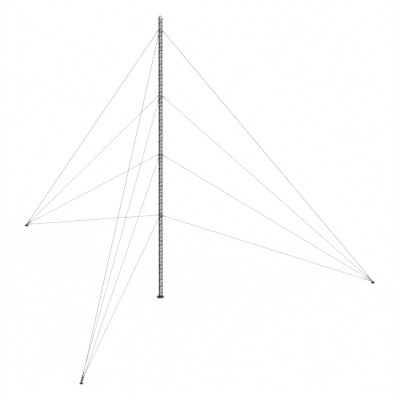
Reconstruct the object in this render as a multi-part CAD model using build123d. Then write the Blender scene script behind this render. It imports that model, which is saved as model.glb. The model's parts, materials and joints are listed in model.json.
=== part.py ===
from build123d import *
import math
import os

# Guyed lattice radio mast, 30 m tall: ten welded triangular sections stand on a steel base plate and
# are stayed at four heights by twelve strands, which run down in three directions to ground anchors.
# Millimetres, +Z up. The origin is the centre of the base plate's underside, at ground level, and +X
# points at the east anchor.

# Mast shaft
section_count = 10
section_length = 3000.0
panels_per_section = 8
end_margin = 40.0          # from a section's end to its first horizontal
leg_spacing = 340.0        # between leg centres, along a face
leg_diameter = 76.1
brace_width = 36.0
spigot_diameter = 58.0
spigot_length = 90.0
fit_gap = 0.3              # running gap between pieces that seat in each other

# Base plate
base_corner_radius = 410.0
base_thickness = 20.0
base_bolt_circle = 610.0
base_bolt_hole = 26.0
stub_diameter = 96.0
stub_height = 50.0
gusset_reach = 60.0
gusset_thickness = 10.0
gusset_toe = 10.0          # height of a gusset's outer end

# Top cap
cap_sleeve_length = 130.0
cap_height = 370.0
cap_post_diameter = 76.1
cap_post_length = 120.0

# Guy collars: section, panel in it, share of that panel's height
guy_levels = ((2, 7, 0.35), (5, 0, 0.65), (7, 1, 0.55), (9, 4, 0.35))
collar_height = 80.0
collar_wall = 8.0
collar_bar_thickness = 8.0
collar_bar_height = 50.0
lug_reach = 105.0          # from the leg's centre to the guy pin
lug_thickness = 14.0
lug_rim = 20.0             # metal round the pin hole
lug_root_height = 72.0

# Guys: swaged sockets with flat eyes on both ends of each strand
guy_directions = {"east": 0.0, "north_west": 120.0, "south_west": 240.0}
guy_diameters = (28.0, 28.0, 28.0, 36.0)
pin_diameter = 25.0
pin_overhang = 8.0         # past the outer face of a fork, at each end
eye_thickness = 24.0
eye_rim = 20.0             # metal round the pin hole
eye_length = 90.0          # from the pin's centre to the socket
socket_wall = 12.0         # round the strand
socket_length = 260.0
socket_taper = 40.0        # at each end of the socket

# Turnbuckles: an eye on the anchor pin and a jaw at the guy's eye
turnbuckle_length = 700.0  # between pins
turnbuckle_screw = 30.0
screw_reach = 60.0         # how far a screw stands into the body's window
body_length = 400.0
body_width = 76.0
body_depth = 34.0
body_head = 50.0           # length of the body's solid ends
body_window = 38.0         # between the body's side bars
foot_eye_length = 75.0     # from the anchor pin's centre to the screw
jaw_thickness = 14.0
jaw_rim = 16.0
jaw_length = 62.0          # from the pin's centre to the middle of the jaw's root
jaw_root_length = 18.0
jaw_root_height = 44.0

# Ground anchors: a bracket with one cross pin that all four turnbuckles of its side hang on
anchor_radius = 21200.0
anchor_pin_height = 150.0
anchor_pin_diameter = 40.0
anchor_places = (1, 3, 0, 2)   # place on the pin of each level's eye
eye_pitch = 44.0               # between eye centres along the pin
end_space = 18.0               # from the outer eyes' centres to the cheeks
spacer_wall = 9.0
foot_size = 330.0
foot_thickness = 20.0
foot_bolt_circle = 356.0
foot_bolt_hole = 22.0
cheek_thickness = 16.0
cheek_rim = 24.0
cheek_foot_length = 240.0
cheek_foot_height = 12.0       # of the cheek's straight sides above the plate

STAND = (Align.CENTER, Align.CENTER, Align.MIN)

leg_radius = leg_diameter / 2
leg_circle = leg_spacing / math.sqrt(3)
section_base = base_thickness + stub_height
panel_height = (section_length - 2 * end_margin) / panels_per_section
cheek_offset = (len(guy_levels) - 1) / 2 * eye_pitch + end_space + cheek_thickness / 2


def turned(shape, angle):
    return Rot(0, 0, angle) * shape


def leg_centre(leg, height=0.0):
    """Centre of leg 0, 1 or 2 at a height."""
    angle = math.radians(120 * leg)
    return Vector(leg_circle * math.cos(angle), leg_circle * math.sin(angle), height)


def leg_bar(length):
    """Six-sided leg with a flat towards each face of the mast that it belongs to."""
    return extrude(RegularPolygon(leg_radius, 6), amount=length)


def square_bar(start, end):
    """Straight brace between two points, with two faces upright."""
    along = end - start
    plane = Plane(origin=start, x_dir=along.cross(Vector(0, 0, 1)), z_dir=along)
    return extrude(plane * Rectangle(brace_width, brace_width), amount=along.length)


def spigot():
    return Cylinder(spigot_diameter / 2, spigot_length, align=STAND)


def socket():
    return Cylinder(spigot_diameter / 2 + fit_gap, spigot_length + fit_gap, align=STAND)


def section():
    """One welded section, standing on z = 0: three legs, a horizontal at every panel point and a diagonal
    in every panel, which turn about at each panel and run the same way round on all three faces."""
    bars = []
    for face in range(3):
        near, far = face, (face + 1) % 3
        for point in range(panels_per_section + 1):
            height = end_margin + point * panel_height
            bars.append(square_bar(leg_centre(near, height), leg_centre(far, height)))
            if point < panels_per_section:
                low, high = (far, near) if point % 2 == 0 else (near, far)
                foot = leg_centre(low, height)
                head = leg_centre(high, height + panel_height)
                bars.append(square_bar(foot, head))
    legs = [Pos(leg_centre(leg)) * leg_bar(section_length) for leg in range(3)]
    welded = legs[0] + legs[1:] + bars
    for leg in range(3):
        welded -= Pos(leg_centre(leg)) * socket()
        welded += Pos(leg_centre(leg, section_length)) * spigot()
    return welded


def base_plate():
    """Hexagonal plate with six anchor bolt holes and a gusseted stub under each leg."""
    plate = extrude(RegularPolygon(base_corner_radius, 6), amount=base_thickness)
    plate -= PolarLocations(base_bolt_circle / 2, 6, start_angle=30) * Cylinder(
        base_bolt_hole / 2, base_thickness, align=STAND)
    stub_radius = stub_diameter / 2
    profile = Polygon((0, 0), (stub_radius + gusset_reach, 0), (stub_radius + gusset_reach, gusset_toe),
                      (stub_radius, stub_height), (0, stub_height), align=None)
    gusset = side_plate(profile, gusset_thickness)
    for leg in range(3):
        foot = Pos(leg_centre(leg, base_thickness))
        plate += foot * Cylinder(stub_radius, stub_height, align=STAND)
        plate += foot * Pos(0, 0, stub_height) * spigot()
        for turn in (-75, 0, 75):
            plate += foot * turned(gusset, 120 * leg + turn)
    return plate


def top_cap():
    """Three sleeves over the top section's spigots, drawn together by sloping bars to a central post."""
    top = section_base + section_count * section_length
    post_foot = Vector(0, 0, top + cap_height - cap_post_length)
    cap = Pos(post_foot) * Cylinder(cap_post_diameter / 2, cap_post_length, align=STAND)
    for leg in range(3):
        crown = leg_centre(leg, top + cap_sleeve_length - brace_width)
        cap += Pos(leg_centre(leg, top)) * leg_bar(cap_sleeve_length)
        cap += square_bar(crown, post_foot + Vector(0, 0, cap_post_length / 2))
    for leg in range(3):
        cap -= Pos(leg_centre(leg, top)) * socket()
    return cap


def side_plate(outline, thickness):
    """Plate from an outline drawn in local XZ, centred on local Y = 0."""
    return extrude(Plane.XZ * outline, amount=thickness / 2, both=True)


def rod(start, end, diameter):
    """Round rod on the local X axis."""
    return Pos(start, 0, 0) * Rot(0, 90, 0) * Cylinder(diameter / 2, end - start, align=STAND)


def taper(start, end, first, last):
    """Cone on the local X axis, from the first diameter to the last."""
    return Pos(start, 0, 0) * Rot(0, 90, 0) * Cone(first / 2, last / 2, end - start, align=STAND)


def cross_pin(diameter, length):
    """Round pin on the local Y axis."""
    return Rot(90, 0, 0) * Cylinder(diameter / 2, length)


def placed(origin, direction):
    """Placement whose local X runs along a direction and whose local Y is level."""
    level = Vector(0, 0, 1).cross(direction)
    return Plane(origin=origin, x_dir=direction, z_dir=direction.cross(level)).location


def level_height(level):
    """Height of a guy collar's centre."""
    number, panel, share = guy_levels[level]
    return section_base + number * section_length + end_margin + (panel + share) * panel_height


def collar_pin_point(level):
    """Centre of the east leg's guy pin."""
    return Vector(leg_circle + lug_reach, 0, level_height(level))


def anchor_eye_point(level):
    """Centre, on the east anchor's pin, of the turnbuckle eye of a level."""
    middle = (len(guy_levels) - 1) / 2
    return Vector(anchor_radius, (anchor_places[level] - middle) * eye_pitch, anchor_pin_height)


def guy_direction(level):
    """Up a guy, from the anchor to its collar."""
    return (collar_pin_point(level) - anchor_eye_point(level)).normalized()


def turnbuckle_head(level):
    """Centre of the pin that joins a turnbuckle to its guy."""
    return anchor_eye_point(level) + guy_direction(level) * turnbuckle_length


def guy_collar(level):
    """Clamp rings round the three legs with a forked lug on each, tied by flat bars along the faces."""
    ring = Cylinder(leg_radius + fit_gap + collar_wall, collar_height)
    bore = Cylinder(leg_radius + fit_gap, collar_height)
    tie_offset = leg_circle / 2 + leg_radius + collar_wall - collar_bar_thickness / 2
    tie = Pos(tie_offset, 0, 0) * Box(collar_bar_thickness, leg_spacing, collar_bar_height)
    gap = eye_thickness + 2 * fit_gap
    side = (gap + lug_thickness) / 2
    end = Pos(lug_reach, 0) * Circle(pin_diameter / 2 + lug_rim)
    root = Pos(leg_radius + collar_wall / 2, 0) * Rectangle(collar_wall, lug_root_height)
    cheek = side_plate(make_hull(end.edges() + root.edges()), lug_thickness)
    hole = Pos(lug_reach, 0, 0) * cross_pin(pin_diameter + 2 * fit_gap, 4 * side)
    clamp = ring + [Pos(0, side, 0) * cheek, Pos(0, -side, 0) * cheek] - hole
    collar = None
    for leg in range(3):
        placed_clamp = Pos(leg_centre(leg)) * turned(clamp, 120 * leg)
        collar = placed_clamp if collar is None else collar + placed_clamp
    for face in range(3):
        collar += turned(tie, 60 + 120 * face)
    for leg in range(3):
        collar -= Pos(leg_centre(leg)) * bore
    return Pos(0, 0, level_height(level)) * collar


def eye(pin, length, tail):
    """Flat eye on a pin at the origin, drawn in to a round tail along +X."""
    outline = make_hull(Circle(pin / 2 + eye_rim).edges() + (Pos(length, 0) * Circle(tail / 2)).edges())
    return side_plate(outline, eye_thickness) - cross_pin(pin + 2 * fit_gap, 2 * eye_thickness)


def guy(level):
    """One stay from pin to pin: a strand with a swaged socket and a flat eye at each end."""
    strand = guy_diameters[level]
    shank = strand + 2 * socket_wall
    head = turnbuckle_head(level)
    length = (collar_pin_point(level) - head).length
    shank_start = eye_length + socket_taper
    shank_end = eye_length + socket_length - socket_taper
    end = eye(pin_diameter, eye_length, eye_thickness)
    end += taper(eye_length, shank_start, eye_thickness, shank)
    end += rod(shank_start, shank_end, shank)
    end += taper(shank_end, eye_length + socket_length, shank, strand)
    stay = rod(shank_start, length - shank_start, strand) + end
    stay += Pos(length, 0, 0) * turned(end, 180)
    return placed(head, guy_direction(level)) * stay


def jaw():
    """Fork that takes an eye on a pin at the origin, with its root on +X."""
    gap = eye_thickness + 2 * fit_gap
    side = (gap + jaw_thickness) / 2
    root = Pos(jaw_length, 0) * Rectangle(jaw_root_length, jaw_root_height)
    cheek = side_plate(make_hull(Circle(pin_diameter / 2 + jaw_rim).edges() + root.edges()), jaw_thickness)
    fork = Pos(jaw_length, 0, 0) * Box(jaw_root_length, gap + 2 * jaw_thickness, jaw_root_height)
    fork += [Pos(0, side, 0) * cheek, Pos(0, -side, 0) * cheek]
    return fork - cross_pin(pin_diameter + 2 * fit_gap, 4 * side)


def turnbuckle(level):
    """Open-bodied turnbuckle from the anchor pin to the guy's eye."""
    screw_end = (turnbuckle_length - body_length) / 2 + body_head + screw_reach
    body = Box(body_length, body_width, body_depth)
    body -= Box(body_length - 2 * body_head, body_window, body_depth)
    lower = eye(anchor_pin_diameter, foot_eye_length, turnbuckle_screw)
    lower += rod(foot_eye_length, screw_end, turnbuckle_screw)
    upper = jaw() + rod(jaw_length, screw_end, turnbuckle_screw)
    whole = Pos(turnbuckle_length / 2, 0, 0) * body + lower
    whole += Pos(turnbuckle_length, 0, 0) * turned(upper, 180)
    return placed(anchor_eye_point(level), guy_direction(level)) * whole


def anchor_foot():
    """Ground plate with four bolt holes and two upright cheeks that carry the anchor pin."""
    foot = Box(foot_size, foot_size, foot_thickness, align=STAND)
    foot -= PolarLocations(foot_bolt_circle / 2, 4, start_angle=45) * Cylinder(
        foot_bolt_hole / 2, foot_thickness, align=STAND)
    boss = Pos(0, anchor_pin_height) * Circle(anchor_pin_diameter / 2 + cheek_rim)
    root = Pos(0, foot_thickness + cheek_foot_height / 2) * Rectangle(cheek_foot_length, cheek_foot_height)
    cheek = side_plate(make_hull(boss.edges() + root.edges()), cheek_thickness)
    foot += [Pos(0, cheek_offset, 0) * cheek, Pos(0, -cheek_offset, 0) * cheek]
    foot -= Pos(0, 0, anchor_pin_height) * cross_pin(anchor_pin_diameter + 2 * fit_gap, 3 * cheek_offset)
    return Pos(anchor_radius, 0, 0) * foot


def anchor_spacers():
    """Rings on the anchor pin that keep the turnbuckle eyes apart and off the cheeks."""
    inner = eye_pitch - eye_thickness - 2 * fit_gap
    outer = end_space - eye_thickness / 2 - 2 * fit_gap
    last = cheek_offset - cheek_thickness / 2 - fit_gap - outer / 2
    middles = [(place - (len(guy_levels) - 2) / 2) * eye_pitch for place in range(len(guy_levels) - 1)]
    lengths = [(middle, inner) for middle in middles] + [(-last, outer), (last, outer)]
    rings = []
    for middle, length in lengths:
        ring = cross_pin(anchor_pin_diameter + 2 * spacer_wall, length)
        ring -= cross_pin(anchor_pin_diameter + 2 * fit_gap, length)
        rings.append(Pos(anchor_radius, middle, anchor_pin_height) * ring)
    return rings


os.makedirs("parts", exist_ok=True)


def save(name, shape):
    export_step(shape, f"parts/{name}.step")


def save_all(name, shapes):
    save(name, Compound(children=[solid for shape in shapes for solid in shape.solids()]))


save("base_plate", base_plate())
one_section = section()
for number in range(section_count):
    save(f"section_{number + 1:02d}", Pos(0, 0, section_base + number * section_length) * one_section)
save("top_cap", top_cap())

levels = range(len(guy_levels))
for level in levels:
    save(f"guy_collar_{level + 1}", guy_collar(level))

guys = [guy(level) for level in levels]
turnbuckles = [turnbuckle(level) for level in levels]
foot = anchor_foot()
spacers = anchor_spacers()
collar_pin = cross_pin(pin_diameter, eye_thickness + 2 * (lug_thickness + pin_overhang))
jaw_pin = cross_pin(pin_diameter, eye_thickness + 2 * (jaw_thickness + pin_overhang))
anchor_pin = cross_pin(anchor_pin_diameter, 2 * cheek_offset + cheek_thickness + 2 * pin_overhang)
collar_pins = []
jaw_pins = []
anchor_pins = []
all_spacers = []
for name, angle in guy_directions.items():
    for level in levels:
        save(f"guy_{level + 1}_{name}", turned(guys[level], angle))
        collar_pins.append(turned(Pos(collar_pin_point(level)) * collar_pin, angle))
        jaw_pins.append(turned(placed(turnbuckle_head(level), guy_direction(level)) * jaw_pin, angle))
    save_all(f"turnbuckles_{name}", [turned(piece, angle) for piece in turnbuckles])
    save(f"anchor_foot_{name}", turned(foot, angle))
    anchor_pins.append(turned(Pos(anchor_radius, 0, anchor_pin_height) * anchor_pin, angle))
    all_spacers += [turned(ring, angle) for ring in spacers]
save_all("collar_pins", collar_pins)
save_all("turnbuckle_pins", jaw_pins)
save_all("anchor_pins", anchor_pins)
save_all("anchor_spacers", all_spacers)
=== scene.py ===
import json
import math

import bpy
from mathutils import Matrix, Vector


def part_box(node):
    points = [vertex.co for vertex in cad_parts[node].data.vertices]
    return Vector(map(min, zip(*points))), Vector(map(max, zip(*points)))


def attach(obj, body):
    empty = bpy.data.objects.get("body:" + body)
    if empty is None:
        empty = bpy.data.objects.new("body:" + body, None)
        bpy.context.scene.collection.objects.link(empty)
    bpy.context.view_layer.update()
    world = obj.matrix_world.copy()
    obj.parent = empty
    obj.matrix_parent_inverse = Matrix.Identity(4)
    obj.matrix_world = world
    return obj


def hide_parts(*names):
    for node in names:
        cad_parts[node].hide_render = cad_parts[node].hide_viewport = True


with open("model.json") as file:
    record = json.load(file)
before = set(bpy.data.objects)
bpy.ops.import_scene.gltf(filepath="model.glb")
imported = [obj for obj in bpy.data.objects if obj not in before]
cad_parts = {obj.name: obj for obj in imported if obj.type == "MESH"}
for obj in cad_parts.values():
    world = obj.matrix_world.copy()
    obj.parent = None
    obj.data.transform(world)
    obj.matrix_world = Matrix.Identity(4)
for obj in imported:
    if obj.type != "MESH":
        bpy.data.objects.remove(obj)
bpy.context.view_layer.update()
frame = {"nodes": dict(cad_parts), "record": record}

bl_info = {
    "name": "Guyed Radio Mast",
    "version": (1, 1, 0),
    "blender": (4, 5, 0),
    "location": "3D View > Sidebar > Mast",
    "description": "Dresses a guyed lattice mast with its tubes, strands, fittings and finishes",
    "category": "Object",
}

ROOT = "root"
SIDES = ("east", "north_west", "south_west")
SIDE_ANGLES = tuple(math.radians(120 * turn) for turn in range(3))
SECTIONS = sorted(name for name in frame["nodes"] if name.startswith("section_"))
LEVELS = (1, 2, 3, 4)
ANCHOR_PLACES = (1, 3, 0, 2)    # place of each level's eye along the anchor pin
Y, Z = Vector((0, 1, 0)), Vector((0, 0, 1))

PAINT = "chalked black mast paint"
DUSTY_PAINT = "dusty black mast paint"
STRAND = "greased galvanised strand"
FORGING = "dark forged steel"
DUSTY_FORGING = "dusty forged steel"
BOLTING = "weathered zinc bolts"

# sides of round shapes
WIDE = 32       # stubs, collars and flat eyes
ROUND = 24      # legs, the cap, sockets, bosses, pins and their bores
SMALL = 20      # washers, spacers and necks
PLAIN = 16      # struts of the cap, and bolt holes
COARSE = 12     # bracing, studs and screws
SHANK = 10      # shanks of bolts
TINY = 8        # weld beads and split pins

# widths of broken and rounded edges
FINE_EDGE = 0.0015      # gussets and collars
CHEEK_EDGE = 0.002      # cheeks of the anchor feet
FORGED_EDGE = 0.003     # eyes, jaws and ground plates
ROOT_EDGE = 0.004       # roots of the jaws

# shares of a bolt's diameter
ACROSS_FLATS = 1.5
WASHER = 0.18
HEAD = 0.65
NUT = 0.85


# --- places read from the frame ---

def corners(node):
    """Lowest and highest corner of a node's box."""
    low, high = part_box(node)
    return Vector(low), Vector(high)


def collar_pin_point(level, stays):
    """Centre of a level's guy pin on the east leg."""
    low, high = corners(f"guy_collar_{level}")
    return Vector((high.x - stays.pin_diameter / 2 - stays.rim, 0, (low.z + high.z) / 2))


def anchor_eye_point(level, stays):
    """Centre, on the east anchor's pin, of a level's turnbuckle eye."""
    low, high = corners("anchor_foot_east")
    middle = (len(LEVELS) - 1) / 2
    return Vector(((low.x + high.x) / 2, (ANCHOR_PLACES[level - 1] - middle) * stays.eye_pitch,
                   high.z - stays.cheek_boss))


def east_stay(level, stays):
    """Ends of a level's east stay, and the direction from its foot to its head."""
    foot = anchor_eye_point(level, stays)
    head = collar_pin_point(level, stays)
    return foot, head, (head - foot).normalized()


def cheek_offset(stays):
    """From an anchor's middle to the middle of its cheek."""
    return (len(LEVELS) - 1) / 2 * stays.eye_pitch + stays.end_space + stays.cheek / 2


def leg_places(node, leg_radius):
    """Leg centres on the ground, from the box of a node that has the leg pattern."""
    circle = corners(node)[1].x - leg_radius
    return [around(angle) @ Vector((circle, 0, 0)) for angle in SIDE_ANGLES]


# --- colours and materials ---

def linear(code):
    """Linear colour of an sRGB hex code."""
    channels = [int(code[place:place + 2], 16) / 255 for place in (0, 2, 4)]
    return tuple(c / 12.92 if c <= 0.04045 else ((c + 0.055) / 1.055) ** 2.4 for c in channels)


def add_node(tree, kind, inputs=None, **settings):
    """Adds a node with its settings, and gives each input a value or a link from an output."""
    made = tree.nodes.new(f"ShaderNode{kind}")
    for name, value in settings.items():
        setattr(made, name, value)
    for name, value in (inputs or {}).items():
        if isinstance(value, bpy.types.NodeSocket):
            tree.links.new(value, made.inputs[name])
        else:
            made.inputs[name].default_value = value
    return made


def new_material(name):
    """Material with no nodes yet, and its node tree."""
    material = bpy.data.materials.new(name)
    material.use_nodes = True
    material.node_tree.nodes.clear()
    return material, material.node_tree


def weathered_metal(name, colour, worn_colour, metallic, roughness,
                    patch_mm, grain_mm, grain_depth_mm, dust=None):
    """Surface with slow patches of a second colour, a fine grain and dust on its level faces."""
    metre = 1000    # in millimetres
    material, tree = new_material(name)
    coordinates = add_node(tree, "TexCoord").outputs
    place = coordinates["Object"]
    patches = add_node(tree, "TexNoise", {
        "Vector": place, "Scale": metre / patch_mm, "Detail": 6.0, "Roughness": 0.6})
    grain = add_node(tree, "TexNoise", {
        "Vector": place, "Scale": metre / grain_mm, "Detail": 3.0, "Roughness": 0.5})
    worn = add_node(tree, "MapRange", {
        "Value": patches.outputs["Fac"], "From Min": 0.45, "From Max": 0.72})
    tint = add_node(tree, "Mix", {
        0: worn.outputs["Result"], 6: (*colour, 1), 7: (*worn_colour, 1)}, data_type="RGBA")
    if dust:
        facing = add_node(tree, "SeparateXYZ", {0: coordinates["Normal"]})
        level = add_node(tree, "MapRange", {
            "Value": facing.outputs["Z"], "From Min": 0.8, "From Max": 1.0})
        lying = add_node(tree, "MapRange", {
            "Value": patches.outputs["Fac"], "From Min": 0.35, "From Max": 0.65,
            "To Min": 0.15, "To Max": 0.7})
        share = add_node(tree, "Math", {
            0: level.outputs["Result"], 1: lying.outputs["Result"]}, operation="MULTIPLY")
        tint = add_node(tree, "Mix", {
            0: share.outputs[0], 6: tint.outputs[2], 7: (*dust, 1)}, data_type="RGBA")
    sheen = add_node(tree, "MapRange", {
        "Value": patches.outputs["Fac"], "From Min": 0.3, "From Max": 0.7,
        "To Min": roughness - 0.08, "To Max": roughness + 0.1})
    bump = add_node(tree, "Bump", {
        "Height": grain.outputs["Fac"], "Distance": grain_depth_mm / metre, "Strength": 0.6})
    shader = add_node(tree, "BsdfPrincipled", {
        "Base Color": tint.outputs[2], "Metallic": metallic, "Roughness": sheen.outputs["Result"],
        "Specular IOR Level": 0.25, "Normal": bump.outputs["Normal"]})
    add_node(tree, "OutputMaterial", {"Surface": shader.outputs["BSDF"]})
    return material


def mast_paint(colours):
    """Black bitumen paint over galvanised tube: deep, with a low sheen, greyer where chalked."""
    return weathered_metal(PAINT, colours.paint, colours.chalk, metallic=0.0, roughness=0.5,
                           patch_mm=140, grain_mm=2.5, grain_depth_mm=0.15)


def dusty_paint(colours):
    """The mast's paint near the ground, with dust and dried splashes on whatever lies flat."""
    return weathered_metal(DUSTY_PAINT, colours.paint, colours.chalk, metallic=0.0, roughness=0.6,
                           patch_mm=140, grain_mm=2.5, grain_depth_mm=0.15, dust=colours.dust)


def greased_strand(colours):
    """Galvanised strand under dark grease: almost black, with the zinc showing in patches."""
    return weathered_metal(STRAND, colours.strand, colours.zinc, metallic=0.2, roughness=0.55,
                           patch_mm=90, grain_mm=1.5, grain_depth_mm=0.1)


def forged_steel(colours):
    """Drop-forged, hot-dip galvanised steel gone dark outdoors: matt, mottled and scaly."""
    return weathered_metal(FORGING, colours.forging, colours.zinc, metallic=0.3, roughness=0.6,
                           patch_mm=45, grain_mm=3, grain_depth_mm=0.3)


def dusty_forging(colours):
    """The same steel at the ground, with dust lying on its flat tops."""
    return weathered_metal(DUSTY_FORGING, colours.forging, colours.zinc, metallic=0.3,
                           roughness=0.65, patch_mm=45, grain_mm=3, grain_depth_mm=0.3,
                           dust=colours.dust)


def zinc_bolts(colours):
    """Galvanised bolts, paler than what they hold, dulled unevenly to a soft grey."""
    return weathered_metal(BOLTING, colours.zinc, colours.bright_zinc, metallic=0.5,
                           roughness=0.5, patch_mm=12, grain_mm=1, grain_depth_mm=0.05)


# --- selecting, placing and joining ---

def deselect():
    bpy.ops.object.select_all(action="DESELECT")


def pick(*things):
    """Selects things alone and makes the first one active."""
    deselect()
    for thing in things:
        thing.select_set(True)
    bpy.context.view_layer.objects.active = things[0]


def settle(thing, matrix=None):
    """Moves a thing by a matrix and puts its place into its mesh."""
    if matrix is not None:
        thing.matrix_world = matrix @ thing.matrix_world
    pick(thing)
    bpy.ops.object.transform_apply(location=True, rotation=True, scale=True)
    return thing


def copy_of(thing, matrix):
    """Copy with a mesh of its own, moved by a matrix."""
    pick(thing)
    bpy.ops.object.duplicate(linked=False)
    return settle(bpy.context.object, matrix)


def spread(thing, places):
    """Copies of a thing, one moved by each matrix; the thing itself is used up."""
    copies = [copy_of(thing, place) for place in places]
    remove(thing)
    return copies


def joined(name, things):
    """One object made of the things, which are used up."""
    pick(*things)
    if len(things) > 1:
        bpy.ops.object.join()
    made = bpy.context.object
    made.name = name
    made.data.name = name
    return made


def remove(*things):
    pick(*things)
    bpy.ops.object.delete()


def shift(x=0.0, y=0.0, z=0.0):
    return Matrix.Translation((x, y, z))


def around(angle):
    return Matrix.Rotation(angle, 4, "Z")


def aim(origin, direction, side=Y):
    """Matrix that takes Z to a direction and keeps Y as near as it can to a side."""
    along = Vector(direction).normalized()
    across = (side - along * side.dot(along)).normalized()
    matrix = Matrix((across.cross(along), across, along)).transposed().to_4x4()
    return Matrix.Translation(origin) @ matrix


CROSSWISE = Matrix.Rotation(math.radians(-90), 4, "X")    # Z to Y
LENGTHWISE = Matrix.Rotation(math.radians(90), 4, "Y")    # Z to X
UPSIDE_DOWN = Matrix.Rotation(math.pi, 4, "Y")
EDGEWISE = Matrix(((0, 1, 0), (0, 0, 1), (1, 0, 0))).to_4x4()    # X to Z, Y to X and Z to Y


def pair(thing, offset):
    """A thing's two copies, moved by an offset to both sides along Y."""
    return spread(thing, [shift(y=-offset), shift(y=offset)])


def round_mast(thing):
    """A thing's three copies round the mast."""
    return spread(thing, [around(angle) for angle in SIDE_ANGLES])


def painted(thing, material):
    """Gives a thing one material in place of any others."""
    thing.data.materials.clear()
    thing.data.materials.append(bpy.data.materials[material])
    return thing


def finished(piece, slot, *nodes):
    """Hangs a piece under the root's empty and hides the frame's nodes that it stands for."""
    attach(piece, ROOT)
    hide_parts(*nodes)


def one_a_side(name, thing, slot, node):
    """A finished piece for each side of the mast, made from the east one."""
    for side, piece in zip(SIDES, round_mast(thing)):
        piece.name = f"{name}_{side}"
        finished(piece, slot, f"{node}_{side}")


# --- shapes ---

def apply_modifier(thing, kind, **settings):
    """Shapes a thing with one modifier, which is used up."""
    pick(thing)
    modifier = thing.modifiers.new("shape", kind)
    for name, value in settings.items():
        setattr(modifier, name, value)
    bpy.ops.object.modifier_apply(modifier="shape")
    return thing


def smoothed(thing):
    """Shades a thing smooth but for its sharp edges."""
    pick(thing)
    bpy.ops.object.shade_smooth_by_angle(angle=math.radians(40))
    return thing


def eased(thing, width, segments=2):
    """Rounds a thing's sharp edges."""
    apply_modifier(thing, "BEVEL", width=width, segments=segments, limit_method="ANGLE",
                   angle_limit=math.radians(50))
    return smoothed(thing)


def cut(thing, cutter):
    """Takes a cutter out of a thing."""
    apply_modifier(thing, "BOOLEAN", operation="DIFFERENCE", solver="EXACT", object=cutter)
    remove(cutter)
    return smoothed(thing)


def added(name, primitive, **settings):
    """New primitive, selected alone."""
    deselect()
    primitive(**settings)
    made = bpy.context.object
    made.name = name
    return made


def edit_all():
    bpy.ops.object.mode_set(mode="EDIT")
    bpy.ops.mesh.select_all(action="SELECT")


def leave_edit():
    """Turns the faces of a closed shell outwards and leaves edit mode."""
    bpy.ops.mesh.select_all(action="SELECT")
    bpy.ops.mesh.normals_make_consistent(inside=False)
    bpy.ops.object.mode_set(mode="OBJECT")


def lathe(name, stations, sides):
    """Round solid along Z: a disc drawn out from station to station, each a height and a radius."""
    height, radius = stations[0]
    made = added(name, bpy.ops.mesh.primitive_circle_add,
                 vertices=sides, radius=radius, fill_type="NGON", location=(0, 0, height))
    edit_all()
    for next_height, next_radius in stations[1:]:
        bpy.ops.mesh.extrude_region_move(
            TRANSFORM_OT_translate={"value": (0, 0, next_height - height)})
        factor = next_radius / radius
        bpy.ops.transform.resize(value=(factor, factor, 1), center_override=(0, 0, next_height))
        height, radius = next_height, next_radius
    leave_edit()
    return smoothed(settle(made))


def cylinder(name, start, end, radius, sides):
    return lathe(name, ((start, radius), (end, radius)), sides)


def chamfered(name, start, end, radius, edge, sides):
    """Cylinder along Z with broken edges."""
    return lathe(name, ((start, radius - edge), (start + edge, radius),
                        (end - edge, radius), (end, radius - edge)), sides)


def bar(name, size, centre):
    """Rectangular bar with sharp edges."""
    return settle(added(name, bpy.ops.mesh.primitive_cube_add, size=1, location=centre,
                        scale=size))


def block(name, size, centre, edge):
    """Rectangular bar with eased edges."""
    return eased(bar(name, size, centre), edge)


def reshape(thing, chosen, value=(0, 0, 0), scale=(1, 1, 1)):
    """Scales the vertices that a test picks, about the origin, and then moves them."""
    pick(thing)
    for group in (thing.data.polygons, thing.data.edges, thing.data.vertices):
        group.foreach_set("select", [False] * len(group))
    for vertex in thing.data.vertices:
        vertex.select = chosen(vertex.co)
    bpy.ops.object.mode_set(mode="EDIT")
    bpy.ops.transform.resize(value=scale, center_override=(0, 0, 0))
    bpy.ops.transform.translate(value=value)
    bpy.ops.object.mode_set(mode="OBJECT")
    return thing


def tongue(name, radius, length, end_radius, thickness, bore, edge, square=False):
    """Flat eye: round about a bore along Y at the origin, and drawn out along Z.

    Its end is half round, or cut off square.
    """
    made = added(name, bpy.ops.mesh.primitive_circle_add,
                 vertices=WIDE, radius=radius, fill_type="NGON")
    middle = radius / 100
    factor = end_radius / radius
    reshape(made, lambda place: place.x > middle, value=(length, 0, 0),
            scale=(0 if square else factor, factor, 1))
    edit_all()
    bpy.ops.transform.translate(value=(0, 0, -thickness / 2))
    bpy.ops.mesh.extrude_region_move(TRANSFORM_OT_translate={"value": (0, 0, thickness)})
    leave_edit()
    eased(made, edge)
    cut(made, cylinder("bore", -thickness, thickness, bore, ROUND))
    return settle(made, EDGEWISE)


def open_ring(name, sides, radius, offset=0.0):
    """Circle of edges with no face, level, about a point along X."""
    return settle(added(name, bpy.ops.mesh.primitive_circle_add, vertices=sides, radius=radius,
                        fill_type="NOTHING", location=(offset, 0, 0)))


def carried_up(made, length, turns, steps):
    """Carries an open ring up Z with whole turns, and closes its ends."""
    apply_modifier(made, "SCREW", axis="Z", angle=math.tau, screw_offset=length / turns,
                   iterations=turns, steps=steps, render_steps=steps)
    edit_all()
    bpy.ops.mesh.remove_doubles(threshold=0.00001)
    bpy.ops.mesh.fill_holes(sides=0)
    leave_edit()
    return smoothed(made)


def laid_strand(name, length, diameter, wires, lay):
    """Strand of wires laid in a helix, standing on the origin."""
    valley = 0.8    # share of the radius at the bottom of the groove between two wires
    steps = 12
    ring = open_ring(name, 2 * wires, diameter / 2)
    marks = {tuple(vertex.co) for vertex in list(ring.data.vertices)[1::2]}
    reshape(ring, lambda place: tuple(place) in marks, scale=(valley, valley, 1))
    return carried_up(ring, length, max(1, round(length / lay)), steps)


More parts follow.
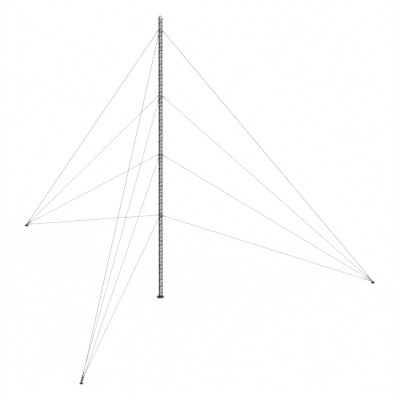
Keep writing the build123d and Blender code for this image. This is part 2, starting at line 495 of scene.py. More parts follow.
def thread(name, start, end, diameter, pitch):
    """Round-thread screw: a ring set a little off its axis turns as it climbs."""
    depth = pitch * 0.45
    steps = 10
    ring = open_ring(name, COARSE, (diameter - depth) / 2, depth / 2)
    made = carried_up(ring, end - start, round((end - start) / pitch), steps)
    return settle(made, shift(z=start))


def weld_beads(length, leg, start, height, thickness):
    """Fillet welds along X, from a start and at a height, on both sides of an upright plate."""
    tip, crown = leg * 0.5, leg * 0.9
    run_in = leg * 0.6
    bead = lathe("bead", ((0, tip), (run_in, crown), (length - run_in, crown), (length, tip)), TINY)
    settle(bead, shift(x=start, z=height) @ LENGTHWISE)
    return pair(bead, thickness / 2)


# --- fasteners ---

def hexagon(name, across, start, height):
    """Nut or bolt head along Z with chamfered corners."""
    corner = across / math.sqrt(3)
    face = corner * 0.92
    slope = height * 0.15
    return lathe(name, ((start, face), (start + slope, corner),
                        (start + height - slope, corner), (start + height, face)), 6)


def washer_ring(name, start, end, radius):
    """Washer or spacer along Z with broken edges."""
    return chamfered(name, start, end, radius, min(0.001, (end - start) / 4), SMALL)


def bolt(name, grip, diameter):
    """Bolt along Z through a grip centred on the origin, with its washers, head and nut."""
    half = grip / 2
    washer = diameter * WASHER
    nut = diameter * NUT
    across = diameter * ACROSS_FLATS
    parts = [
        lathe("shank", ((-half - 1.4 * diameter, diameter * 0.42),
                        (-half - 1.3 * diameter, diameter / 2), (half, diameter / 2)), SHANK),
        washer_ring("washer", half, half + washer, diameter),
        washer_ring("washer", -half - washer, -half, diameter),
        hexagon("head", across, half + washer, diameter * HEAD),
        hexagon("nut", across, -half - washer - nut, nut)]
    return joined(name, parts)


def stud(name, foot, seat, diameter):
    """Holding-down stud from a foot height, with a washer, a nut and a thin lock nut."""
    washer = diameter * WASHER
    nut = diameter * NUT
    across = diameter * ACROSS_FLATS
    top = seat + washer + 1.5 * nut
    out_of_line = 0.4    # radians
    parts = [
        lathe("stud", ((foot, diameter / 2), (top + diameter * 0.35, diameter / 2),
                       (top + diameter * 0.45, diameter * 0.4)), COARSE),
        washer_ring("washer", seat, seat + washer, 1.05 * diameter),
        hexagon("nut", across, seat + washer, nut),
        settle(hexagon("lock nut", across, seat + washer + nut, nut / 2), around(out_of_line))]
    return joined(name, parts)


def bolted_down(plate, thickness, count, circle, diameter, hole_radius):
    """Cuts a ring of bolt holes in a ground plate, and returns the studs that stand in them."""
    hole = cylinder("hole", -thickness / 2, 2 * thickness, hole_radius, PLAIN)
    one = painted(stud("stud", 0, thickness, diameter), BOLTING)
    places = [around((turn + 0.5) * math.tau / count) @ shift(x=circle / 2)
              for turn in range(count)]
    cut(plate, joined("holes", spread(hole, places)))
    return spread(one, places)


def clevis_pin(name, diameter, length, overhang):
    """Headed pin along Y with a split pin through its other end."""
    half = length / 2
    edge = 0.002
    head = overhang * 0.75
    head_radius = diameter * 0.66
    body = lathe("body", (
        (-half, diameter * 0.44), (-half + edge, diameter / 2), (half - head, diameter / 2),
        (half - head, head_radius), (half - edge, head_radius), (half, diameter * 0.6)), ROUND)
    height = -half + overhang * 0.45
    wire = 0.002
    split = lathe("split", ((-diameter * 0.75, wire * 0.75), (-diameter * 0.74, wire),
                            (diameter * 0.66, wire)), TINY)
    settle(split, shift(z=height) @ LENGTHWISE)
    ring = added("ring", bpy.ops.mesh.primitive_torus_add, major_radius=diameter * 0.14,
                 minor_radius=wire * 0.9, major_segments=12, minor_segments=6,
                 location=(diameter * 0.8, 0, height))
    return settle(joined(name, [body, split, settle(ring)]), CROSSWISE)


# --- sizes and colours a user may change ---

def metres(name, description, default):
    return bpy.props.FloatProperty(
        name=name, description=description, default=default, unit="LENGTH")


def shade(name, description, code):
    return bpy.props.FloatVectorProperty(
        name=name, description=description, subtype="COLOR", size=3, default=linear(code),
        min=0, max=1)


class MastSizes(bpy.types.PropertyGroup):
    """Sizes of the dressed pieces."""
    leg_diameter: metres("Leg diameter", "Outside diameter of a leg tube", 0.0761)
    brace_diameter: metres("Brace diameter", "Outside diameter of a bracing tube", 0.0424)
    weld: metres("Weld", "Leg length of a fillet weld", 0.006)
    spigot_length: metres("Spigot length", "How far a section's spigot stands up", 0.09)
    end_margin: metres("End margin", "From a section's end to its first horizontal", 0.04)
    panels: bpy.props.IntProperty(
        name="Panels", description="Bracing panels in a section", default=8, min=2)
    joint_bolt: metres("Joint bolt", "Diameter of the bolts through a leg joint", 0.016)
    plate: metres("Ground plates", "Thickness of the plates on the ground", 0.02)
    stub_diameter: metres("Stub diameter", "Diameter of the stub under a leg", 0.096)
    stub_height: metres("Stub height", "Height of the stub under a leg", 0.05)
    gusset_reach: metres("Gusset reach", "From a stub to its gusset's toe", 0.06)
    gusset_thickness: metres("Gusset thickness", "Thickness of a gusset", 0.01)
    gusset_toe: metres("Gusset toe", "Height of a gusset's outer end", 0.01)
    base_bolt_circle: metres("Base bolt circle", "Diameter of the base's bolt circle", 0.61)
    base_stud: metres("Base stud", "Diameter of a holding-down stud", 0.024)
    cap_sleeve: metres("Cap sleeve", "Length of the top cap's sleeves", 0.13)
    cap_post: metres("Cap post", "Length of the top cap's post", 0.12)


class StaySizes(bpy.types.PropertyGroup):
    """Sizes of the guys and their fittings."""
    strand_diameter: metres("Strand diameter", "Diameter of the lower guys' strand", 0.028)
    top_strand_diameter: metres("Top strand diameter", "Diameter of the top guys' strand", 0.036)
    lay: metres("Lay", "Length in which a wire goes once round its strand", 0.32)
    pin_diameter: metres("Pin diameter", "Diameter of the guys' pins", 0.025)
    rim: metres("Rim", "Metal round a pin hole", 0.02)
    gap: metres("Gap", "Running gap round a pin", 0.0003)
    collar_wall: metres("Collar wall", "Thickness of a collar and its ties", 0.008)
    tie_height: metres("Tie height", "Height of the ties between collars", 0.05)
    lug_thickness: metres("Lug thickness", "Thickness of a collar's lugs", 0.014)
    lug_reach: metres("Lug reach", "From a leg's centre to its guy pin", 0.105)
    pinch_bolt: metres("Pinch bolt", "Diameter of a collar's bolts", 0.012)
    pinch_offset: metres("Pinch offset", "From a collar to its bolts", 0.013)
    eye_thickness: metres("Eye thickness", "Thickness of a flat eye", 0.024)
    eye_length: metres("Eye length", "From a pin to the socket", 0.09)
    socket_wall: metres("Socket wall", "Metal of a socket round its strand", 0.012)
    socket_length: metres("Socket length", "Length of a socket", 0.26)
    socket_taper: metres("Socket taper", "Length of each tapered end of a socket", 0.04)
    turnbuckle: metres("Turnbuckle", "Length of a turnbuckle between its pins", 0.7)
    screw: metres("Screw", "Diameter of a turnbuckle's screws", 0.03)
    thread_pitch: metres("Thread pitch", "Rise of a screw in one turn", 0.006)
    screw_reach: metres("Screw reach", "How far a screw shows in the window", 0.06)
    lock_nut: metres("Lock nut", "Height of a turnbuckle's lock nut", 0.018)
    body_length: metres("Body length", "Length of a turnbuckle's body", 0.4)
    body_width: metres("Body width", "Width of a turnbuckle's body", 0.076)
    body_depth: metres("Body depth", "Depth of a turnbuckle's body", 0.034)
    body_head: metres("Body head", "Length of the body's solid ends", 0.05)
    body_window: metres("Body window", "Clear width between the body's side bars", 0.038)
    foot_eye_length: metres("Foot eye length", "From the anchor pin to the screw", 0.075)
    jaw_thickness: metres("Jaw thickness", "Thickness of a jaw's cheek", 0.014)
    jaw_length: metres("Jaw length", "From the pin to the middle of the jaw's root", 0.062)
    jaw_rim: metres("Jaw rim", "Metal of a jaw round its pin", 0.016)
    jaw_root_width: metres("Jaw root width", "Width of a jaw's root", 0.044)
    jaw_root_length: metres("Jaw root length", "Length of a jaw's root", 0.018)
    overhang: metres("Overhang", "How far a pin stands out of its fork", 0.008)
    eye_pitch: metres("Eye pitch", "Between eyes along the anchor pin", 0.044)
    end_space: metres("End space", "From the outer eyes to the cheeks", 0.018)
    spacer_wall: metres("Spacer wall", "Thickness of the anchor's spacers", 0.009)
    anchor_pin: metres("Anchor pin", "Diameter of the anchor pin", 0.04)
    cheek: metres("Cheek", "Thickness of the anchor's cheeks", 0.016)
    cheek_boss: metres("Cheek boss", "Radius of a cheek round its pin", 0.044)
    cheek_base: metres("Cheek base", "Length of a cheek on the ground plate", 0.24)
    cheek_foot: metres("Cheek foot", "Height of a cheek's straight ends", 0.012)
    foot_bolt_circle: metres("Foot bolt circle", "Diameter of an anchor's bolt circle", 0.356)
    foot_stud: metres("Foot stud", "Diameter of an anchor's studs", 0.02)


class MastColours(bpy.types.PropertyGroup):
    """Colours of the finishes."""
    paint: shade("Paint", "Mast paint", "0a0a0b")
    chalk: shade("Chalked paint", "Mast paint where it has chalked", "18191b")
    dust: shade("Dust", "Dust on the plates at the ground", "8c8a86")
    strand: shade("Strand", "Greased strand", "0c0c0d")
    zinc: shade("Zinc", "Dulled galvanising where it shows", "1b1c1d")
    forging: shade("Forging", "Forged fittings", "0e0e0f")
    bright_zinc: shade("Bright zinc", "Galvanised bolts where they are rubbed", "3a3b3d")
    floor: shade("Floor", "Studio floor", "fafafa")


# --- the mast ---

def welded_tube(name, start, end, sizes):
    """Round brace between two leg centres, with a weld fillet at each leg."""
    leg_radius = sizes.leg_diameter / 2
    radius = sizes.brace_diameter / 2
    along = end - start
    length = along.length
    rise = abs(along.z) / length
    lean = math.sqrt(1 - rise * rise)
    foot = radius + sizes.weld
    neck = radius + sizes.weld * 0.7
    seat = (min(leg_radius - foot * rise, math.sqrt(leg_radius ** 2 - foot ** 2)) / lean
            - sizes.weld / 4)
    toe = (leg_radius + radius * rise) / lean + sizes.weld
    middle = leg_radius / lean
    stations = ((seat, foot), (middle, neck), (toe, radius),
                (length - toe, radius), (length - middle, neck), (length - seat, foot))
    made = lathe(name, stations, COARSE)
    is_level = lean > 0.9
    return settle(made, aim(start, along, Z if is_level else Y))


def joint_bolts(legs, sizes, joint=0.0):
    """The two bolts through each leg just above a joint's height, square to the mast's radius."""
    clear_of_welds = (0.24, 0.63)    # shares of the spigot's length
    one = painted(bolt("joint bolt", sizes.leg_diameter, sizes.joint_bolt), BOLTING)
    return spread(one, [
        shift(*leg) @ shift(z=joint + sizes.spigot_length * share) @ around(angle) @ CROSSWISE
        for leg, angle in zip(legs, SIDE_ANGLES) for share in clear_of_welds])


class MAST_OT_sections(bpy.types.Operator):
    """Build the welded lattice sections from round tube, with the bolts of their joints"""
    bl_idname = "mast.sections"
    bl_label = "Lattice sections"

    def execute(self, context):
        sizes = context.scene.mast_sizes
        leg_radius = sizes.leg_diameter / 2
        low, high = corners(SECTIONS[0])
        length = high.z - low.z - sizes.spigot_length
        pitch = (length - 2 * sizes.end_margin) / sizes.panels
        legs = leg_places(SECTIONS[0], leg_radius)
        level = welded_tube("horizontal", legs[0], legs[1], sizes)
        rising = welded_tube("rising", legs[1], legs[0] + Z * pitch, sizes)
        falling = welded_tube("falling", legs[0], legs[1] + Z * pitch, sizes)
        parts = []
        for angle in SIDE_ANGLES:
            for point in range(sizes.panels + 1):
                place = shift(z=sizes.end_margin + point * pitch) @ around(angle)
                parts.append(copy_of(level, place))
                if point < sizes.panels:
                    diagonal = rising if point % 2 == 0 else falling
                    parts.append(copy_of(diagonal, place))
        remove(level, rising, falling)
        leg = chamfered("leg", 0, length, leg_radius, sizes.weld / 3, ROUND)
        parts += spread(leg, [shift(*place) for place in legs])
        tubes = painted(joined("tubes", parts), PAINT)
        section = joined("section", [tubes] + joint_bolts(legs, sizes))
        places = [shift(z=corners(name)[0].z) for name in SECTIONS]
        for name, piece in zip(SECTIONS, spread(section, places)):
            piece.name = f"tubes_{name}"
            finished(piece, "mast_paint", name)
        return {"FINISHED"}


class MAST_OT_base(bpy.types.Operator):
    """Build the base plate with its stubs, gussets and holding-down studs"""
    bl_idname = "mast.base"
    bl_label = "Base plate"

    def execute(self, context):
        sizes = context.scene.mast_sizes
        corner = corners("base_plate")[1].x
        edge = sizes.weld / 2
        plate = chamfered("plate", 0, sizes.plate, corner, edge, 6)
        settle(plate, around(math.radians(30)))
        studs = bolted_down(plate, sizes.plate, 6, sizes.base_bolt_circle, sizes.base_stud,
                            hole_radius=sizes.base_stud * 0.54)
        legs = leg_places("section_01", sizes.leg_diameter / 2)
        radius = sizes.stub_diameter / 2
        top = sizes.plate + sizes.stub_height
        stub = lathe("stub", (
            (sizes.plate - edge, radius + sizes.weld), (sizes.plate + sizes.weld, radius),
            (top - edge, radius), (top, radius - edge)), WIDE)
        stubs = spread(stub, [shift(*leg) for leg in legs])
        gusset_turns = (-75, 0, 75)
        gussets = spread(stub_gusset(radius, sizes), [
            shift(*leg) @ around(angle + math.radians(turn))
            for leg, angle in zip(legs, SIDE_ANGLES) for turn in gusset_turns])
        welded = painted(joined("welded", [plate] + stubs + gussets), DUSTY_PAINT)
        finished(joined("base", [welded] + studs), "mast_paint", "base_plate")
        return {"FINISHED"}


def stub_gusset(radius, sizes):
    """Sloping plate out along X from a stub's centre, with its welds to the base plate."""
    reach = sizes.gusset_reach
    height = sizes.stub_height
    brink = sizes.plate + height - sizes.gusset_toe
    plate = block("gusset", (reach + radius, sizes.gusset_thickness, height),
                  ((reach + radius) / 2, 0, sizes.plate + height / 2), FINE_EDGE)
    reshape(plate, lambda place: place.x > radius and place.z > brink,
            value=(0, 0, sizes.gusset_toe - height))
    beads = weld_beads(reach, sizes.weld, radius, sizes.plate, sizes.gusset_thickness)
    return joined("gusset", [plate] + beads)


class MAST_OT_cap(bpy.types.Operator):
    """Build the top cap of sleeves, sloping tubes and a closed post"""
    bl_idname = "mast.cap"
    bl_label = "Top cap"

    def execute(self, context):
        sizes = context.scene.mast_sizes
        low, high = corners("top_cap")
        radius = sizes.leg_diameter / 2
        edge = sizes.weld / 2
        length = sizes.cap_sleeve
        legs = leg_places("top_cap", radius)
        sleeve = lathe("sleeve", (
            (0, radius - edge), (edge, radius), (length - 2 * edge, radius),
            (length - edge / 2, radius * 0.94), (length, radius * 0.8)), ROUND)
        foot = high.z - sizes.cap_post
        post = lathe("post", (
            (foot, radius * 0.85), (foot + edge, radius), (high.z - 4 * edge, radius),
            (high.z - 1.5 * edge, radius * 0.86), (high.z - edge / 2, radius * 0.5),
            (high.z, radius * 0.15)), ROUND)
        sleeves = spread(sleeve, [shift(*leg) @ shift(z=low.z) for leg in legs])
        heart = Vector((0, 0, foot + sizes.cap_post / 2))
        crown = low.z + length - sizes.brace_diameter / 2
        struts = [cap_strut(leg + Z * crown, heart, sizes) for leg in legs]
        tubes = painted(joined("tubes", [post] + sleeves + struts), PAINT)
        bolts = joint_bolts(legs, sizes, joint=low.z)
        finished(joined("cap", [tubes] + bolts), "mast_paint", "top_cap")
        return {"FINISHED"}


def cap_strut(crown, heart, sizes):
    """Sloping tube from a sleeve's crown to the heart of the post, with a weld at each end."""
    radius = sizes.leg_diameter / 2
    brace = sizes.brace_diameter / 2
    foot = brace + sizes.weld
    run = heart - crown
    clear = run.length - radius * 1.25
    strut = lathe("strut", (
        (0, brace), (radius, foot), (radius * 1.3, brace),
        (clear, brace), (clear + radius * 0.35, foot), (run.length, brace)), PLAIN)
    return settle(strut, aim(crown, run))


def forked_clamp(height, sizes, stays):
    """Collar round a leg at the origin, with two lugs for a guy's eye and their pinch bolts."""
    bore = sizes.leg_diameter / 2 + stays.gap
    outer = bore + stays.collar_wall
    ring = chamfered("ring", -height / 2, height / 2, outer, FINE_EDGE, WIDE)
    cut(ring, cylinder("bore", -height, height, bore, WIDE))
    lug = tongue("lug", stays.pin_diameter / 2 + stays.rim,
                 stays.lug_reach - bore - stays.collar_wall / 2, height * 0.45,
                 stays.lug_thickness, stays.pin_diameter / 2 + stays.gap, FINE_EDGE, square=True)
    settle(lug, shift(x=stays.lug_reach) @ Matrix.Rotation(math.radians(-90), 4, "Y"))
    side = stays.eye_thickness / 2 + stays.gap + stays.lug_thickness / 2
    clamp = painted(joined("clamp", [ring] + pair(lug, side)), PAINT)
    pinch = settle(bolt("pinch bolt", 2 * side + stays.lug_thickness, stays.pinch_bolt), CROSSWISE)
    painted(pinch, BOLTING)
    apart = height * 0.28
    pinches = spread(pinch, [shift(x=outer + stays.pinch_offset, z=z) for z in (-apart, apart)])
    return joined("clamp", [clamp] + pinches)


class MAST_OT_collars(bpy.types.Operator):
    """Build the guy collars: clamp rings, forked lugs, ties and their bolts"""
    bl_idname = "mast.collars"
    bl_label = "Guy collars"

    def execute(self, context):
        sizes = context.scene.mast_sizes
        stays = context.scene.stay_sizes
        low, high = corners("guy_collar_1")
        legs = leg_places("section_01", sizes.leg_diameter / 2)
        circle = legs[0].x
        clamp = forked_clamp(high.z - low.z, sizes, stays)
        offset = circle / 2 + sizes.leg_diameter / 2 + stays.gap + stays.collar_wall / 2
        tie = block("tie", (stays.collar_wall, circle * math.sqrt(3), stays.tie_height),
                    (offset, 0, 0), FINE_EDGE)
        painted(tie, PAINT)
        clamps = spread(clamp, [shift(*leg) @ around(angle)
                                for leg, angle in zip(legs, SIDE_ANGLES)])
        ties = spread(tie, [around(angle + math.radians(60)) for angle in SIDE_ANGLES])
        collar = joined("collar", clamps + ties)
        heights = [collar_pin_point(level, stays).z for level in LEVELS]
        for level, piece in zip(LEVELS, spread(collar, [shift(z=z) for z in heights])):
            piece.name = f"collar_{level}"
            finished(piece, "mast_paint", f"guy_collar_{level}")
        return {"FINISHED"}


# --- the stays ---

def socket(stays, strand):
    """Flat eye and swaged socket of a guy's end, with its pin at the origin and its strand up Z."""
    radius = strand / 2 + stays.socket_wall
    neck = stays.eye_thickness / 2
    swaged = radius * 0.94
    overlap, band, step = 0.012, 0.012, 0.004
    bulge, lip = 0.002, 0.001
    start = stays.eye_length
    end = start + stays.socket_length
    taper = stays.socket_taper
    low = start + taper
    high = end - taper
    body = lathe("socket", (
        (start - overlap, neck * 0.8), (start, neck),
        (start + taper * 0.5, (neck + radius) / 2 + bulge),
        (low, radius), (low + band, radius), (low + band + step, swaged),
        (high - band - step, swaged), (high - band, radius), (high, radius),
        (end - taper * 0.4, (strand / 2 + radius) / 2), (end, strand / 2 + lip)), ROUND)
    eye = tongue("eye", stays.pin_diameter / 2 + stays.rim, start, neck, stays.eye_thickness,
                 stays.pin_diameter / 2 + stays.gap, FORGED_EDGE)
    return painted(joined("socket", [body, eye]), FORGING)


class MAST_OT_guys(bpy.types.Operator):
    """Lay the strands of the guys and swage their sockets on"""
    bl_idname = "mast.guys"
    bl_label = "Guys"

    def execute(self, context):
        stays = context.scene.stay_sizes
        wire_count = 6
        inside = stays.eye_length + stays.socket_length / 2
        for level in LEVELS:
            top = level == LEVELS[-1]
            strand = stays.top_strand_diameter if top else stays.strand_diameter
            foot, head, along = east_stay(level, stays)
            foot = foot + along * stays.turnbuckle
            length = (head - foot).length
            wires = laid_strand("wires", length - 2 * inside, strand, wire_count, stays.lay)
            settle(painted(wires, STRAND), shift(z=inside))
            lower = socket(stays, strand)
            upper = copy_of(lower, shift(z=length) @ UPSIDE_DOWN)
            stay = settle(joined("stay", [wires, lower, upper]), aim(foot, along))
            one_a_side(f"stay_{level}", stay, "strand", f"guy_{level}")
        return {"FINISHED"}


def turnbuckle_body(stays):
    """Parts of an open body along Z, centred between the pins: heads, side bars and bosses."""
    middle = stays.turnbuckle / 2
    low = middle - stays.body_length / 2
    high = middle + stays.body_length / 2 - stays.body_head
    trim = 0.001
    side_width = (stays.body_width - stays.body_window) / 2 - trim
    offset = (stays.body_window + side_width) / 2
    head = (stays.body_depth, stays.body_width, stays.body_head)
    side = (stays.body_depth - 2 * trim, side_width, stays.body_length - stays.body_head)
    heads = [eased(bar("head", head, (0, 0, foot + stays.body_head / 2)), width=0.009, segments=3)
             for foot in (low, high)]
    sides = [eased(bar("side", side, (0, place, middle)), width=0.007, segments=4)
             for place in (-offset, offset)]
    radius = stays.body_depth * 0.62
    shoulder, mouth = radius * 0.97, radius * 0.86
    lip = 0.005
    bosses = [
        lathe("boss", ((foot, mouth), (foot + lip, shoulder), (foot + stays.body_head / 2, radius),
                       (foot + stays.body_head - lip, shoulder), (foot + stays.body_head, mouth)),
              ROUND)
        for foot in (low, high)]
    return heads + sides + bosses


def turnbuckle_jaw(stays):
    """Fork over a guy's eye, with its pin at the origin and its root and shank up Z."""
    length = stays.jaw_length
    thickness = stays.jaw_thickness
    side = stays.eye_thickness / 2 + stays.gap + thickness / 2
    cheek = tongue("cheek", stays.pin_diameter / 2 + stays.jaw_rim, length,
                   stays.jaw_root_width / 2, thickness, stays.pin_diameter / 2 + stays.gap,
                   FORGED_EDGE)
    root = block("root", (stays.jaw_root_width, 2 * side + thickness, stays.jaw_root_length),
                 (0, 0, length), ROOT_EDGE)
    shoulder, taper = 0.02, 0.001
    straight, end = length + 0.016, length + 0.026
    shank = lathe("shank", ((length, shoulder + taper), (straight, shoulder),
                            (end, stays.screw * 0.46)), SMALL)
    return joined("jaw", pair(cheek, side) + [root, shank])


def turnbuckle(stays):
    """Open-bodied turnbuckle up Z: eye on the origin, jaw on the upper pin."""
    low = (stays.turnbuckle - stays.body_length) / 2
    high = (stays.turnbuckle + stays.body_length) / 2
    eye_end = stays.foot_eye_length
    overlap = 0.01
    inside = stays.body_head + stays.screw_reach
    ends = ((eye_end + 2 * overlap, low + inside),
            (high - inside, stays.turnbuckle - stays.jaw_length - overlap))
    screws = [thread("screw", *span, stays.screw, stays.thread_pitch) for span in ends]
    slack = 0.001
    across = stays.screw * ACROSS_FLATS
    nuts = [painted(hexagon("lock nut", across, start, stays.lock_nut), BOLTING)
            for start in (low - slack - stays.lock_nut, high + slack)]
    eye = tongue("eye", stays.anchor_pin / 2 + stays.rim, eye_end, stays.screw / 2,
                 stays.eye_thickness, stays.anchor_pin / 2 + stays.gap, FORGED_EDGE)
    neck_radius = stays.screw * 0.56
    straight, end = eye_end + 0.018, eye_end + 0.024
    neck = lathe("neck", (
        (eye_end - overlap, stays.screw * 0.42), (eye_end, neck_radius),
        (straight, neck_radius), (end, stays.screw * 0.46)), SMALL)
    jaw = settle(turnbuckle_jaw(stays), shift(z=stays.turnbuckle) @ UPSIDE_DOWN)
    forgings = [*turnbuckle_body(stays), *screws, eye, neck, jaw]
    return joined("turnbuckle", [painted(joined("forgings", forgings), FORGING)] + nuts)


class MAST_OT_turnbuckles(bpy.types.Operator):
    """Forge the turnbuckles"""
    bl_idname = "mast.turnbuckles"
    bl_label = "Turnbuckles"

    def execute(self, context):
        stays = context.scene.stay_sizes
        lines = [east_stay(level, stays) for level in LEVELS]
        group = spread(turnbuckle(stays), [aim(foot, along) for foot, head, along in lines])
        one_a_side("set_of_turnbuckles", joined("turnbuckles", group), "fittings", "turnbuckles")
        return {"FINISHED"}


class MAST_OT_pins(bpy.types.Operator):
    """Turn the headed pins with their split pins, and the spacers on the anchor pins"""
    bl_idname = "mast.pins"
    bl_label = "Pins and spacers"

    def execute(self, context):
        stays = context.scene.stay_sizes
        grip = stays.eye_thickness + 2 * (stays.jaw_thickness + stays.overhang)
        one = painted(clevis_pin("pin", stays.pin_diameter, grip, stays.overhang), FORGING)
        lines = [east_stay(level, stays) for level in LEVELS]
        at_collars = [aim(head, along) for foot, head, along in lines]
        at_turnbuckles = [aim(foot + along * stays.turnbuckle, along)
                          for foot, head, along in lines]
        upper = [copy_of(one, place) for place in at_collars]
        lower = spread(one, at_turnbuckles)
        for name, pins, node in (("pins_at_collars", upper, "collar_pins"),
                                 ("pins_at_turnbuckles", lower, "turnbuckle_pins")):
            finished(joined(name, round_mast(joined("pins", pins))), "fittings", node)

        centre = anchor_eye_point(1, stays)
        centre.y = 0
        length = 2 * (cheek_offset(stays) + stays.cheek / 2 + stays.overhang)
        long_pin = clevis_pin("long pin", stays.anchor_pin, length, stays.overhang)
        for name, piece, node in (
                ("pins_at_anchors", long_pin, "anchor_pins"),
                ("spacers_at_anchors", anchor_spacers(stays), "anchor_spacers")):
            settle(painted(piece, FORGING), shift(*centre))
            finished(joined(name, round_mast(piece)), "fittings", node)
        return {"FINISHED"}


def anchor_spacers(stays):
    """Rings along Y that fill an anchor pin between its eyes and out to its cheeks."""
    pitch = stays.eye_pitch
    inner = pitch - stays.eye_thickness - 2 * stays.gap
    outer = stays.end_space - stays.eye_thickness / 2 - 2 * stays.gap
    last = cheek_offset(stays) - stays.cheek / 2 - stays.gap - outer / 2
    rings = []
    for place, width in ((-last, outer), (-pitch, inner), (0, inner), (pitch, inner),
                         (last, outer)):
        ring = washer_ring("ring", -width / 2, width / 2, stays.anchor_pin / 2 + stays.spacer_wall)
        rings.append(settle(ring, shift(y=place) @ CROSSWISE))
    return joined("spacers", rings)


class MAST_OT_feet(bpy.types.Operator):
    """Weld the anchors' ground brackets and set their studs"""
    bl_idname = "mast.feet"
    bl_label = "Anchor feet"

    def execute(self, context):
        sizes = context.scene.mast_sizes
        stays = context.scene.stay_sizes
        low, high = corners("anchor_foot_east")
        width = high.x - low.x
        plate = block("plate", (width, width, sizes.plate), (0, 0, sizes.plate / 2), FORGED_EDGE)
        studs = bolted_down(plate, sizes.plate, 4, stays.foot_bolt_circle, stays.foot_stud,
                            hole_radius=stays.foot_stud * 0.55)
        cheek = foot_cheek(high.z - stays.cheek_boss, sizes, stays)
        bracket = painted(joined("bracket", [plate] + pair(cheek, cheek_offset(stays))),
                          DUSTY_FORGING)
        foot = settle(joined("foot", [bracket] + studs), shift(x=(low.x + high.x) / 2))
        one_a_side("foot", foot, "fittings", "anchor_foot")
        return {"FINISHED"}


def foot_cheek(pin_height, sizes, stays):
    """Upright plate that carries one end of the anchor pin, with its welds to the plate."""
    base = stays.cheek_base
    cheek = tongue("cheek", stays.cheek_boss, pin_height - sizes.plate - stays.cheek_foot,
                   base / 2, stays.cheek, stays.anchor_pin / 2 + stays.gap, CHEEK_EDGE,
                   square=True)
    settle(cheek, shift(z=pin_height) @ UPSIDE_DOWN)
    foot_bar = block("foot bar", (base, stays.cheek, stays.cheek_foot),
                     (0, 0, sizes.plate + stays.cheek_foot / 2), CHEEK_EDGE)
    beads = weld_beads(base, sizes.weld, -base / 2, sizes.plate, stays.cheek)
    return joined("cheek", [cheek, foot_bar] + beads)


# --- finishes and studio ---

class MAST_OT_finishes(bpy.types.Operator):
    """Make the materials and give them to the pieces carried over from the frame"""
    bl_idname = "mast.finishes"
    bl_label = "Finishes"

    def execute(self, context):
        colours = context.scene.mast_colours
        zinc_bolts(colours)
        dusty_paint(colours)
        dusty_forging(colours)
        by_slot = {
            "mast_paint": mast_paint(colours),
            "strand": greased_strand(colours),
            "fittings": forged_steel(colours),
        }
        slots = {part["node"]: part["material_slot"] for part in frame["record"]["subparts"]}
        for name, node in frame["nodes"].items():
            node.data.materials.clear()
            node.data.materials.append(by_slot[slots[name]])
        return {"FINISHED"}


class MAST_OT_stage(bpy.types.Operator):
    """Set the floor, the lights and the camera"""
    bl_idname = "mast.stage"
    bl_label = "Studio"

    def execute(self, context):
        scene = context.scene
        add_floor(scene.mast_colours.floor)
        add_world(scene)
        add_sun("key light", (0.55, -0.65, 0.75), strength=1.3, disc=25)
        add_sun("fill light", (-0.8, -0.2, 0.5), strength=0.5, disc=60)
        add_camera(scene)
        scene.view_settings.view_transform = "Standard"
        return {"FINISHED"}


def sum_of(tree, *values):
    """Clamped sum of several outputs."""
    total = values[0]
    for value in values[1:]:
        total = add_node(tree, "Math", {0: total, 1: value},
                         operation="ADD", use_clamp=True).outputs[0]
    return total


def add_floor(colour):
    """Floor that takes the mast's shadow but glows almost white to whatever looks at it."""
    deselect()
    bpy.ops.mesh.primitive_plane_add(size=1200)
    floor = bpy.context.object
    floor.name = "floor"
    material, tree = new_material("pale studio floor")
    rays = add_node(tree, "LightPath").outputs
    seen = sum_of(tree, rays["Is Camera Ray"], rays["Is Glossy Ray"], rays["Is Transmission Ray"])
    share = add_node(tree, "Math", {0: seen, 1: 0.92}, operation="MULTIPLY")
    matt = add_node(tree, "BsdfDiffuse", {"Color": (*colour, 1)})
    glow = add_node(tree, "Emission", {"Color": (1, 1, 1, 1), "Strength": 1.0})
    mixed = add_node(tree, "MixShader", {
        0: share.outputs[0], 1: matt.outputs[0], 2: glow.outputs[0]})
    add_node(tree, "OutputMaterial", {"Surface": mixed.outputs[0]})
    floor.data.materials.append(material)


def add_world(scene):
    """White surroundings that light the mast more softly than they look."""
    world = bpy.data.worlds.new("studio")
    scene.world = world
    world.use_nodes = True
    tree = world.node_tree
    tree.nodes.clear()
    rays = add_node(tree, "LightPath").outputs
    seen = sum_of(tree, rays["Is Camera Ray"], rays["Is Transmission Ray"])
    level = add_node(tree, "MapRange", {"Value": seen, "To Min": 0.6, "To Max": 1.0})
    sky = add_node(tree, "Background", {"Color": (1, 1, 1, 1), "Strength": level.outputs[0]})
    add_node(tree, "OutputWorld", {"Surface": sky.outputs[0]})


def add_sun(name, towards, strength, disc):
    """Sun lamp that shines from a direction, with a disc of so many degrees."""
    light = bpy.data.lights.new(name, "SUN")
    light.energy = strength
    light.angle = math.radians(disc)
    lamp = bpy.data.objects.new(name, light)
    lamp.rotation_euler = Vector(towards).to_track_quat("Z", "Y").to_euler()
    bpy.context.collection.objects.link(lamp)


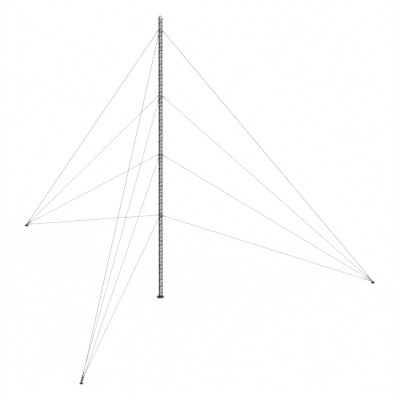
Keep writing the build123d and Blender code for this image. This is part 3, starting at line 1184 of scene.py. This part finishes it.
def add_camera(scene):
    """Long lens from 25 degrees above, with the east guys leading off to the right."""
    turn = math.radians(8.8)
    elevation = math.radians(25.02)
    rightward, upward = 3.904, 9.542    # from the mast's foot to the middle of the view
    width = 39.37                       # of the view
    right = Vector((math.cos(turn), -math.sin(turn), 0))
    away = Vector((math.sin(turn), math.cos(turn), 0))
    up = away * math.sin(elevation) + Z * math.cos(elevation)
    back = Z * math.sin(elevation) - away * math.cos(elevation)
    lens = bpy.data.cameras.new("camera")
    lens.lens = 1700
    lens.sensor_width = 36
    distance = width * lens.lens / lens.sensor_width
    lens.clip_start = 10
    lens.clip_end = 2 * distance
    camera = bpy.data.objects.new("camera", lens)
    centre = right * rightward + up * upward
    camera.matrix_world = Matrix.Translation(centre + back * distance) @ Matrix(
        (right, up, back)).transposed().to_4x4()
    bpy.context.collection.objects.link(camera)
    scene.camera = camera


class VIEW3D_PT_mast(bpy.types.Panel):
    """Sidebar panel that lists the sizes, the colours and the steps"""
    bl_label = "Guyed Mast"
    bl_space_type = "VIEW_3D"
    bl_region_type = "UI"
    bl_category = "Mast"

    def draw(self, context):
        scene = context.scene
        for group in (scene.mast_sizes, scene.stay_sizes, scene.mast_colours):
            for name in group.__annotations__:
                self.layout.prop(group, name)
        for step in STEPS:
            self.layout.operator(step.bl_idname)


STEPS = (MAST_OT_finishes, MAST_OT_sections, MAST_OT_base, MAST_OT_cap, MAST_OT_collars,
         MAST_OT_guys, MAST_OT_turnbuckles, MAST_OT_pins, MAST_OT_feet, MAST_OT_stage)
CLASSES = (MastSizes, StaySizes, MastColours, *STEPS, VIEW3D_PT_mast)


def register():
    for each in CLASSES:
        bpy.utils.register_class(each)
    bpy.types.Scene.mast_sizes = bpy.props.PointerProperty(type=MastSizes)
    bpy.types.Scene.stay_sizes = bpy.props.PointerProperty(type=StaySizes)
    bpy.types.Scene.mast_colours = bpy.props.PointerProperty(type=MastColours)


def unregister():
    del bpy.types.Scene.mast_colours
    del bpy.types.Scene.stay_sizes
    del bpy.types.Scene.mast_sizes
    for each in reversed(CLASSES):
        bpy.utils.unregister_class(each)


def main():
    register()
    for step in STEPS:
        group, name = step.bl_idname.split(".")
        getattr(getattr(bpy.ops, group), name)()


if __name__ == "__main__":
    main()
